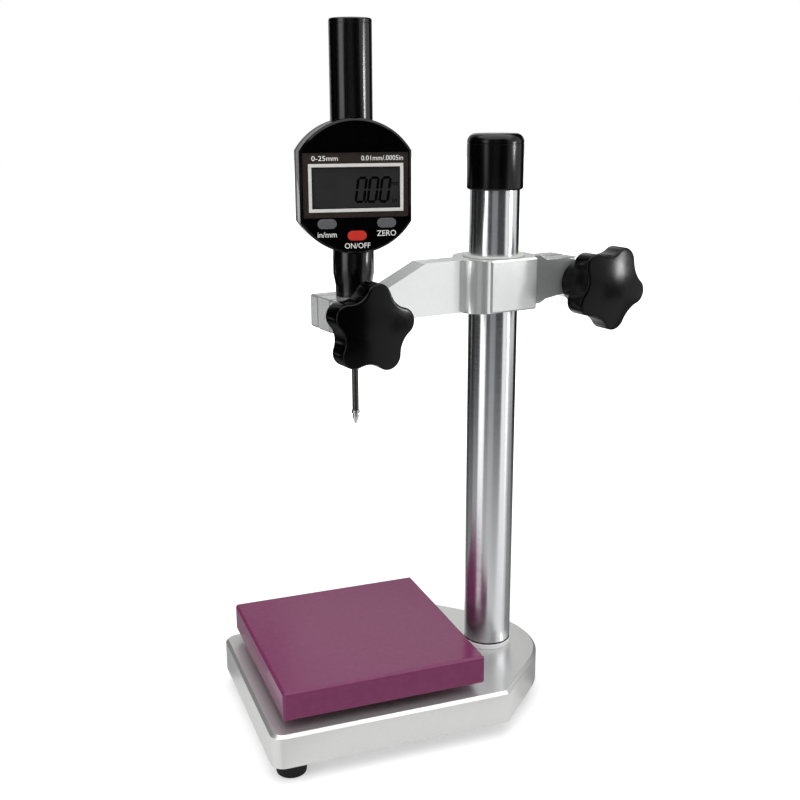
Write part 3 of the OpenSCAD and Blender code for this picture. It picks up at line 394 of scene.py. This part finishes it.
def star_knob(name, node, joint, width, turn_deg, stud_r, body):
    """A knob on its screw's axis, built in rings from the bore over the rim to its face."""
    out, start = Vector(joints[joint]["axis"]), Vector(joints[joint]["pos_m"])
    levels = [v.co.dot(out) for v in frame["nodes"][node].data.vertices]
    seat, top = min(levels) / MM, max(levels) / MM
    side = up.cross(out)
    origin = start - out * start.dot(out)
    turn = math.radians(turn_deg)
    outline = star_outline(width, 0, turn)
    bottom = top - star_t
    bore_end = bottom + bore_deep

    def crown(x, y):
        return top - crown_r + math.sqrt(crown_r ** 2 - x * x - y * y)

    def round_ring(radius, level):
        return [(radius * x / math.hypot(x, y), radius * y / math.hypot(x, y), level)
                for x, y in outline]

    rings = [round_ring(stud_r, bore_end), round_ring(stud_r, seat)]
    rings += [round_ring(hub_r - inset, seat + rise) for inset, rise in hub_edge]
    rings.append(round_ring(hub_r, bottom - hub_blend))
    rings += [round_ring(hub_r + hub_blend * (1 - math.cos(a)),
                         bottom - hub_blend * (1 - math.sin(a))) for a in quarter(blend_steps)[1:]]
    rings += [[(x, y, bottom + under_r * (1 - math.cos(a)))
               for x, y in star_outline(width, under_r * (1 - math.sin(a)), turn)]
              for a in quarter(blend_steps)]
    rings += [[(x, y, crown(x, y) - rim_r * (1 - math.sin(a)))
               for x, y in star_outline(width, rim_r * (1 - math.cos(a)), turn)]
              for a in quarter(rim_steps)]
    rings += [[(x * share, y * share, crown(x * share, y * share))
               for x, y in star_outline(width, rim_r, turn)] for share in face_shares]
    shape = bmesh.new()
    rows = [[shape.verts.new(origin + (side * x + up * y + out * z) * MM) for x, y, z in ring]
            for ring in rings]
    count = len(outline)
    for low, high in zip(rows, rows[1:]):
        for k in range(count):
            shape.faces.new((low[k], low[(k + 1) % count], high[(k + 1) % count], high[k]))
    for row, level in ((rows[0], bore_end), (rows[-1], top)):
        pole = shape.verts.new(origin + out * level * MM)
        for k in range(count):
            shape.faces.new((row[k], row[(k + 1) % count], pole))
    return piece(name, meshed(name, shape), knob_black, body, [node])


star_knob("column_star_knob", "column_knob", "column_knob_turn",
          width=41.5, turn_deg=61, stud_r=4.04, body="column_knob")
star_knob("indicator_star_knob", "indicator_knob", "indicator_knob_turn",
          width=40, turn_deg=82, stud_r=3.04, body="indicator_knob")
coat(zinc_steel, "tail_washer", "fork_washer", "column_stud", "indicator_stud")


# Indicator case. Two black mouldings screwed together from the back: a round front with flat sides
# that carries the display, and a shallower back with the battery's cover. The front's mould is
# polished, so it has an even gloss; the back's fine texture, about 0.2 mm, is drawn at 0.7 mm.
case_black = grained(
    "glossy black ABS", {"Specular IOR Level": 0.2}, ("#010101", "#020202"),
    rough=(0.1, 0.14), grain_mm=1.6, height_mm=0.0004)
rear_black = grained(
    "satin black ABS", {"Specular IOR Level": 0.4}, ("#0A0A0B", "#111112"),
    rough=(0.34, 0.42), grain_mm=0.7, height_mm=0.004)
dressed("front_case", case_black, "indicator", edge_mm=0.3)
dressed("rear_case", rear_black, "indicator", edge_mm=0.4)
dressed("battery_cover", rear_black, "indicator", edge_mm=0.25)
coat(zinc_steel, "case_screws")


# Tube, neck and stem. The tube over the case guards the spring, the neck under it carries the steel
# stem that the fork clamps; both plug into the case. Satin ABS, the stem ground steel.
ground_steel = grained(
    "ground steel", {"Metallic": 1.0}, ("#8A8B8A", "#9C9D9C"),
    rough=(0.16, 0.26), grain_mm=5.0, height_mm=0.001, stretch=(1, 1, 18))
tube_black = grained(
    "satin black tube", {"Specular IOR Level": 0.45}, ("#010101", "#020202"),
    rough=(0.19, 0.22), grain_mm=1.6, height_mm=0.0001)
dressed("top_tube", tube_black, "indicator", edge_mm=0.2)
dressed("tube_cap", tube_black, "indicator", edge_mm=0.25)
dressed("neck", tube_black, "indicator", edge_mm=0.25)
coat(ground_steel, "stem", "guide_rod")
coat(turned_brass, "lower_bush", "upper_bush")


# Display. A brown-black printed sheet let into the face, a thin bright frame laid on it round the
# window and a grey liquid crystal cell behind. The cell shows a slanted reading in black segments.
press = Vector(joints["unit_press"]["axis"])
across = press.cross(up)
spindle_axis = middle("spindle")[0]
case_low, case_high = middle("front_case")[1:]
case_z = (case_low + case_high) / 2


def on_face(x, depth, z):
    """A point in mm: x across the face, depth behind the spindle, z from the case's centre."""
    return Vector((*spindle_axis, case_z * MM)) + (across * x + press * depth + up * z) * MM


printed_sheet = grained(
    "printed polyester sheet", {"IOR": 1.5}, ("#281F1A", "#312823"),
    rough=(0.3, 0.4), grain_mm=1.2, height_mm=0.002)
silver_paint = grained(
    "silver painted trim", {"Metallic": 0.15}, ("#E2E0DC", "#ECEAE6"),
    rough=(0.3, 0.4), grain_mm=0.8, height_mm=0.001, stretch=(0.1, 1, 1))
crystal_cell = grained(
    "grey liquid crystal cell", {"Specular IOR Level": 0.4}, ("#2B2B2C", "#313132"),
    rough=(0.16, 0.2), grain_mm=14.0, height_mm=0.0)
crystal_black = grained(
    "black crystal segments", {"Specular IOR Level": 0.2}, ("#010101", "#030303"),
    rough=(0.2, 0.26), grain_mm=0.5, height_mm=0.0)
dressed("display_panel", printed_sheet, "indicator", edge_mm=0.1, steps=2)
dressed("display_frame", silver_paint, "indicator", edge_mm=0.12, steps=2)
dressed("display_glass", crystal_cell, "indicator", edge_mm=0.08, steps=2)

glass_front, print_t = -8.9, 0.03
digits, digit_w, digit_h, digit_pitch, digit_slant = 3, 3.6, 11.4, 5.3, 0.14
digit_left, digit_mid, digit_margin = 0.1, -1.4, 0.4
bar_t, bar_gap, dot_half = 1.15, 0.1, 0.45


def flat_shapes(name, outlines, depth, finish):
    """Thin printed or lit shapes on the indicator's face, each an outline of (x, z) in mm."""
    shape = bmesh.new()
    for outline in outlines:
        front = [shape.verts.new(on_face(x, depth - print_t, z)) for x, z in outline]
        back = [shape.verts.new(on_face(x, depth, z)) for x, z in outline]
        shape.faces.new(front)
        shape.faces.new(back[::-1])
        for k in range(len(outline)):
            n = (k + 1) % len(outline)
            shape.faces.new((front[k], back[k], back[n], front[n]))
    return piece(name, meshed(name, shape), finish, "indicator", [])


def bar(x0, z0, x1, z1):
    """One segment of a figure, pointed at both ends."""
    run = Vector((x1 - x0, z1 - z0))
    run.normalize()
    side = Vector((-run.y, run.x)) * bar_t / 2
    a, b = Vector((x0, z0)) + run * bar_gap, Vector((x1, z1)) - run * bar_gap
    tip = run * bar_t / 2
    corners = a, a + tip - side, b - tip - side, b, b - tip + side, a + tip + side
    return [tuple(p) for p in corners]


def leaning(outline, x):
    """A figure's outline moved to its place and slanted to the right."""
    return [(digit_left + x + px + digit_slant * pz, digit_mid + pz) for px, pz in outline]


half_w, half_h = digit_w / 2, digit_h / 2 - bar_t / 2
nought = [bar(-half_w, half_h, half_w, half_h), bar(-half_w, -half_h, half_w, -half_h),
          bar(-half_w, 0, -half_w, half_h), bar(half_w, 0, half_w, half_h),
          bar(-half_w, -half_h, -half_w, 0), bar(half_w, -half_h, half_w, 0)]
dot = [(x * dot_half, z * dot_half - half_h) for x, z in ((-1, -1), (1, -1), (1, 1), (-1, 1))]
figures = [leaning(part, half_w + digit_margin + k * digit_pitch)
           for k in range(digits) for part in nought]
figures.append(leaning(dot, half_w + digit_margin + digit_pitch / 2))
flat_shapes("display_reading", figures, glass_front, crystal_black)


# Lettering. Plain words and units, screen printed in white: the range and the reading's step over
# the display, and what each key does under it. Printed ink: matt white, a few hundredths of a
# millimetre thick. The cell's small unit marks are set the same way.
white_ink = grained(
    "white printing ink", {"Specular IOR Level": 0.3}, ("#F2F2F0", "#FAFAF8"),
    rough=(0.5, 0.6), grain_mm=0.4, height_mm=0.0)
panel_front, case_face = -9.5, -10.0
type_steps, type_weight = 3, 0.003


def printed(name, words, x, z, height, width, depth, ink=white_ink):
    """Words printed on the face, centred on (x, z) and fitted to a height and width in mm."""
    curve = bpy.data.curves.new(name, "FONT")
    curve.body = words
    curve.align_x, curve.align_y = "CENTER", "CENTER"
    curve.extrude = print_t / 2
    curve.resolution_u = type_steps
    curve.offset = type_weight
    maker = placed(name + "_type", curve)
    drawn = maker.evaluated_get(bpy.context.evaluated_depsgraph_get())
    mesh = bpy.data.meshes.new_from_object(drawn)
    bpy.data.objects.remove(maker)
    xs, ys = [v.co.x for v in mesh.vertices], [v.co.y for v in mesh.vertices]
    wide, high = width / (max(xs) - min(xs)), height / (max(ys) - min(ys))
    cx, cy = (max(xs) + min(xs)) / 2, (max(ys) + min(ys)) / 2
    for v in mesh.vertices:
        v.co = on_face(x + (v.co.x - cx) * wide, depth - print_t / 2 - v.co.z,
                       z + (v.co.y - cy) * high)
    mesh.name = name
    mesh.materials.clear()
    return piece(name, mesh, ink, "indicator", [])


for name, words, x, z, height, width, depth in (
    ("print_range", "0-25mm", -13.6, 12.2, 2.1, 11.5, panel_front),
    ("print_step", "0.01mm/.0005in", 11.6, 12.2, 2.1, 18.5, panel_front),
    ("print_units", "in/mm", -13.2, -20.3, 2.5, 8.4, case_face),
    ("print_zero", "ZERO", 13.2, -20.2, 2.5, 8.6, case_face),
    ("print_power", "ON/OFF", 0.2, -25.4, 2.4, 11.4, case_face),
):
    printed(name, words, x, z, height, width, depth)
for name, words, x, z, height, width in (
    ("display_mm", "mm", 17.3, 0.9, 1.6, 3.0),
    ("display_in", "in", 17.1, -6.0, 1.8, 2.0),
):
    printed(name, words, x, z, height, width, glass_front, crystal_black)


# Inside the case. A tray holds the display, the board behind it reads a brass strip through a
# slider, and a coin cell sits in its well. Glass-fibre board, stamped brass, nickel-plated can,
# plain moulding.
tray_plastic = grained(
    "grey moulded tray", {}, ("#2A2A2B", "#353536"),
    rough=(0.45, 0.55), grain_mm=0.8, height_mm=0.004)
board_green = grained(
    "solder-masked board", {}, ("#0D3B24", "#14502F"),
    rough=(0.3, 0.42), grain_mm=1.4, height_mm=0.006)
stamped_brass = grained(
    "stamped contact brass", {"Metallic": 1.0}, ("#B49455", "#C8AA68"),
    rough=(0.28, 0.4), grain_mm=0.9, height_mm=0.003)
nickel_can = grained(
    "nickel-plated can", {"Metallic": 1.0}, ("#B9BABA", "#CACBCB"),
    rough=(0.2, 0.3), grain_mm=0.7, height_mm=0.002)
coat(tray_plastic, "display_carrier", "slider_block")
coat(board_green, "main_board")
coat(stamped_brass, "sensor_strip", "battery_clip")
coat(nickel_can, "battery")


# Keys. Three oval keys of moulded silicone, each over its own switch: grey for the units and for
# zero, red for the power. Silicone has a soft, slightly dusty sheen; its grain of about 0.1 mm is
# drawn at 0.5 mm.
grey_silicone = grained(
    "grey moulded silicone", {"Specular IOR Level": 0.4}, ("#57585A", "#626365"),
    rough=(0.4, 0.5), grain_mm=0.5, height_mm=0.008)
red_silicone = grained(
    "red moulded silicone", {"Specular IOR Level": 0.25}, ("#C82A1E", "#D23428"),
    rough=(0.4, 0.5), grain_mm=0.5, height_mm=0.008)
dressed("unit_button", grey_silicone, "unit_button", edge_mm=0.4, steps=4)
dressed("zero_button", grey_silicone, "zero_button", edge_mm=0.4, steps=4)
dressed("power_button", red_silicone, "power_button", edge_mm=0.4, steps=4)


# Spindle. A ground and hardened rod that slides through the stem, with a screwed contact point at
# its foot, the slider and a brass seat for the return spring at its head. Dark hardened steel,
# bright point.
hardened_steel = grained(
    "hardened ground steel", {"Metallic": 1.0}, ("#4C4C4A", "#585855"),
    rough=(0.2, 0.28), grain_mm=4.0, height_mm=0.001, stretch=(1, 1, 14))
bright_steel = grained(
    "lapped bright steel", {"Metallic": 1.0}, ("#B8B9B8", "#CDCECD"),
    rough=(0.14, 0.22), grain_mm=2.0, height_mm=0.001, stretch=(1, 1, 8))
spring_wire = grained(
    "drawn spring wire", {"Metallic": 1.0}, ("#7A7B7C", "#8E8F90"),
    rough=(0.25, 0.35), grain_mm=0.5, height_mm=0.002)
dressed("spindle", hardened_steel, "spindle", edge_mm=0.1, steps=2)
dressed("contact_point", bright_steel, "spindle", edge_mm=0.12, steps=2)
coat(turned_brass, "spring_seat")
spring = dressed("return_spring", spring_wire, "indicator", edge_mm=0)
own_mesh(spring)


# Stage. A pale floor under the feet, white to the camera but keeping the stand's shadow, in a white
# room. Dark, grey and bright cards stand round it, out of the camera's sight, for the gloss and the
# chrome to mirror. Distances and heights here are in metres.
bench = cad_low.z
stand_middle = Vector((25 * MM, 0, bench))
camera_turn = math.radians(200.45)
floor_half = 6
card_steps = 16
white = linear("#FFFFFF")


def towards(turn_deg, distance, height):
    """A point round the stand, turned to the right from the camera's side."""
    turn = camera_turn - math.radians(turn_deg)
    return stand_middle + Vector((math.sin(turn) * distance, math.cos(turn) * distance, height))


def away_from_stand(tree):
    """How far the shaded point lies from the middle of the stand's foot."""
    spot = add(tree, "NewGeometry")
    away = add(tree, "VectorMath", {0: spot.outputs["Position"], 1: stand_middle},
               operation="DISTANCE")
    return away.outputs["Value"]


def by_mirror(tree, ray):
    """1 for what is seen by way of gloss or glass, else 0."""
    bent = add(tree, "Math", {0: ray.outputs["Is Glossy Ray"],
                              1: ray.outputs["Is Transmission Ray"]}, operation="MAXIMUM")
    return bent.outputs["Value"]


floor_mesh = bpy.data.meshes.new("floor")
floor_mesh.from_pydata([(stand_middle.x + x * floor_half, y * floor_half, bench)
                        for x, y in ((-1, -1), (1, -1), (1, 1), (-1, 1))], [], [(0, 1, 2, 3)])
floor = placed("floor", floor_mesh)
pale = bpy.data.materials.new("pale matt floor")
pale.use_nodes = True
tree = pale.node_tree
matt = tree.nodes["Principled BSDF"]
matt.inputs["Base Color"].default_value = linear("#E4E4E4")
matt.inputs["Roughness"].default_value = 0.9
matt.inputs["Emission Color"].default_value = white
ray = add(tree, "LightPath")
away = away_from_stand(tree)
clear = add(tree, "MapRange", {"Value": away, "From Min": 0.12, "From Max": 0.55,
                               "To Min": 0.42, "To Max": 1.0})
seen = add(tree, "Math", {0: ray.outputs["Is Camera Ray"], 1: clear.outputs["Result"]},
           operation="MULTIPLY")
sheen = add(tree, "MapRange", {"Value": away, "From Min": 0.12, "From Max": 0.7,
                               "To Min": 0.12, "To Max": 0.4})
mirrored = add(tree, "Math", {0: by_mirror(tree, ray), 1: sheen.outputs["Result"]},
               operation="MULTIPLY")
lifted = add(tree, "Math", {0: seen.outputs["Value"], 1: mirrored.outputs["Value"]},
             operation="ADD")
tree.links.new(lifted.outputs["Value"], matt.inputs["Emission Strength"])
floor_mesh.materials.append(pale)

world = bpy.data.worlds.new("white room")
bpy.context.scene.world = world
world.use_nodes = True
tree = world.node_tree
backdrop = tree.nodes["Background"]
backdrop.inputs["Color"].default_value = white
ray = add(tree, "LightPath")
looked_at = add(tree, "Math", {0: ray.outputs["Is Camera Ray"], 1: by_mirror(tree, ray)},
                operation="MAXIMUM")
brightness = add(tree, "MapRange", {"Value": looked_at.outputs["Value"],
                                    "To Min": 0.42, "To Max": 1.0})
tree.links.new(brightness.outputs["Result"], backdrop.inputs["Strength"])

# Outlines of the cards, from the stand outwards and up, as (distance, height).
upright = (0.1, 0.001), (0.95, 0.001), (0.95, 1.3)
low_strip = (0.1, 0.001), (0.95, 0.001), (0.95, 0.14)
lying = (0.06, 0.001), (0.9, 0.001)
high_strip = (0.95, 0.5), (0.95, 1.3)
lit = (0.95, 0.18), (0.95, 0.3)
lit_high = (0.95, 0.3), (0.95, 0.4)
by_pad = (0.95, 0.005), (0.95, 0.15)
by_fork = (0.9, 0.01), (0.9, 0.085)
behind = (0.95, 0.2), (0.95, 0.46)
# Each card: its tone near the stand and further off, where it starts and ends round the stand in
# degrees, its outline, and how strongly it shines.
for name, near_tone, tone, start, end, outline, strength in (
    ("front_card_left", "#DDDDDD", "#404040", -32, -12, upright, 0),
    ("front_card_middle", "#DDDDDD", "#8E9092", -12, 14, upright, 0),
    ("front_card_right", "#DDDDDD", "#383838", 14, 50, upright, 0),
    ("left_card", "#A0A0A0", "#1C1C1C", -140, -98, upright, 0),
    ("left_card_middle", "#DDDDDD", "#404040", -98, -88, upright, 0),
    ("left_card_front", "#DDDDDD", "#181818", -88, -64, upright, 0),
    ("left_low_card", "#707070", "#181818", -168, -140, low_strip, 0),
    ("left_high_card", "#A0A0A0", "#A0A0A0", -170, -140, high_strip, 0),
    ("right_card", "#8C8C8C", "#202020", 118, 168, upright, 0),
    ("right_flap", "#8C8C8C", "#9A9A9A", 96, 118, lying, 0),
    ("right_flap_front", "#D0D0D0", "#C0C0C0", 84, 96, lying, 0),
    ("back_card", "#B4B4B4", "#B4B4B4", 150, 210, behind, 0),
    ("pad_card", "#7C7C7C", "#7C7C7C", 66, 80, by_pad, 0),
    ("fork_card", "#E8E8E8", "#E8E8E8", -126, -116, by_fork, 0),
    ("knob_glow_card", "#FFFFFF", "#FFFFFF", 75, 80, lit, 56),
    ("tube_glow_card", "#FFFFFF", "#FFFFFF", 77, 82, lit_high, 24),
):
    card_paper = bpy.data.materials.new(name)
    card_paper.use_nodes = True
    tree = card_paper.node_tree
    paper = tree.nodes["Principled BSDF"]
    fade = add(tree, "MapRange", {"Value": away_from_stand(tree), "From Min": 0.1, "From Max": 0.6})
    shade = add(tree, "ValToRGB", {"Fac": fade.outputs["Result"]})
    shade.color_ramp.elements[0].color = linear(near_tone)
    shade.color_ramp.elements[1].color = linear(tone)
    tree.links.new(shade.outputs["Color"], paper.inputs["Base Color"])
    paper.inputs["Specular IOR Level"].default_value = 0.0
    paper.inputs["Emission Color"].default_value = white
    paper.inputs["Emission Strength"].default_value = strength
    turns = [start + (end - start) * k / card_steps for k in range(card_steps + 1)]
    spots = [towards(t, reach, height) for t in turns for reach, height in outline]
    count = len(outline)
    corners = [k * count + i for k in range(card_steps) for i in range(count - 1)]
    card_mesh = bpy.data.meshes.new(name)
    card_mesh.from_pydata(spots, [], [(c, c + count, c + count + 1, c + 1) for c in corners])
    card_mesh.materials.append(card_paper)
    card = placed(name, card_mesh)
    card.visible_camera = card.visible_diffuse = False
    card.visible_shadow = card.visible_transmission = False

# Softboxes: a wide one overhead and a dim one on the left, aimed at a height over the floor.
for name, spot, aim, width, height, watts in (
    ("overhead_softbox", towards(20, 0.25, 1.35), 0.05, 2.0, 2.0, 19.0),
    ("left_softbox", towards(-48, 1.0, 0.4), 0.2, 0.4, 0.8, 2.0),
):
    lamp = bpy.data.lights.new(name, "AREA")
    lamp.shape, lamp.size, lamp.size_y, lamp.energy = "RECTANGLE", width, height, watts
    box = placed(name, lamp)
    box.visible_camera = False
    box.location = spot
    aimed = stand_middle + Vector((0, 0, aim)) - spot
    box.rotation_euler = aimed.to_track_quat("-Z", "Y").to_euler()

# Camera. Fitted to the corners of the plate, the base, the column and the indicator.
camera_mm = Vector((-154.62, -482.41, 254.42))
camera_pan, camera_dip, camera_roll = -0.35693, 0.2604, -0.00365
camera_data = bpy.data.cameras.new("camera")
camera_data.lens, camera_data.sensor_width = 49.33, 36.0
camera_data.clip_start = 0.01
camera = placed("camera", camera_data)
camera.matrix_world = (Matrix.Translation(camera_mm * MM)
                       @ Matrix.Rotation(camera_pan, 4, "Z")
                       @ Matrix.Rotation(math.pi / 2 - camera_dip, 4, "X")
                       @ Matrix.Rotation(camera_roll, 4, "Z"))
bpy.context.scene.camera = camera
bpy.context.scene.view_settings.view_transform = "Standard"
